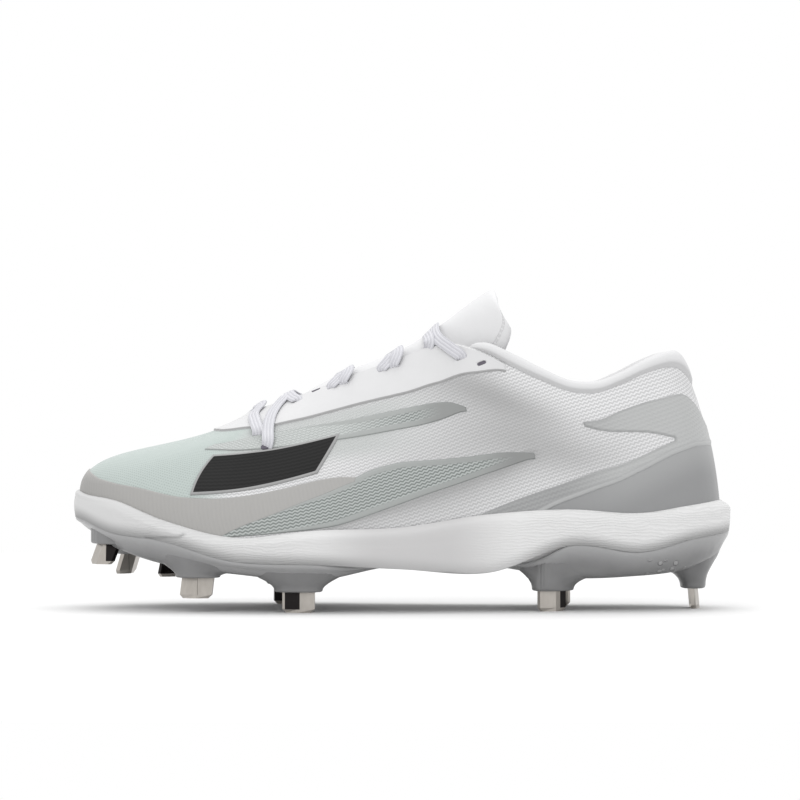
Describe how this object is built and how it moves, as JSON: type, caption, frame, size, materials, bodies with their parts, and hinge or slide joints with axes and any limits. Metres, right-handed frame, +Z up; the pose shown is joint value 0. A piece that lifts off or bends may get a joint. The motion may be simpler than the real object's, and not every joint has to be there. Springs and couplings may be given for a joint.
{
  "type": "baseball cleat",
  "caption": "Low-cut baseball cleat for the left foot: textile upper, foam midsole, moulded plate with pods and bent steel spikes, laced over a padded tongue.",
  "frame": {"origin": "on the floor, at the bottom centre of the shoe's bounding box", "axes": "+X from toe to heel, +Z up, -Y towards the outer (lateral) side that the picture shows"},
  "size_m": [0.298, 0.1018, 0.1449],
  "materials": {
    "foam_white": "satin foam with fine wrinkles",
    "plate_grey": "satin moulded",
    "spike_steel": "tumbled",
    "knit_white": "ribbed textile",
    "smooth_white": "smooth coated",
    "film_pale": "thin pale film",
    "film_grey": "thin grey film",
    "panel_dark": "satin",
    "padding_white": "padded knit",
    "lace_grey": "flat woven lace",
    "lining_grey": "brushed textile"
  },
  "bodies": {
    "root": {"outsole_plate": "plate_grey", "midsole": "foam_white", "insole": "lining_grey", "upper": "knit_white", "collar_padding": "padding_white", "tongue": "smooth_white", "eyestay": "smooth_white", "toe_rand": "film_grey", "heel_counter": "film_grey", "film_high_lateral": "film_pale", "film_low_lateral": "film_pale", "film_high_medial": "film_pale", "film_low_medial": "film_pale", "side_panel_lateral": "panel_dark", "side_panel_medial": "panel_dark", "lace_bar_front": "lace_grey", "laces": "lace_grey", "spike_toe_lateral": "spike_steel", "spike_toe_medial": "spike_steel", "spike_forefoot_lateral": "spike_steel", "spike_forefoot_medial": "spike_steel", "spike_ball_lateral": "spike_steel", "spike_ball_medial": "spike_steel", "spike_heel_lateral": "spike_steel", "spike_heel_medial": "spike_steel", "spike_heel_back": "spike_steel"}
  },
  "joints": []
}
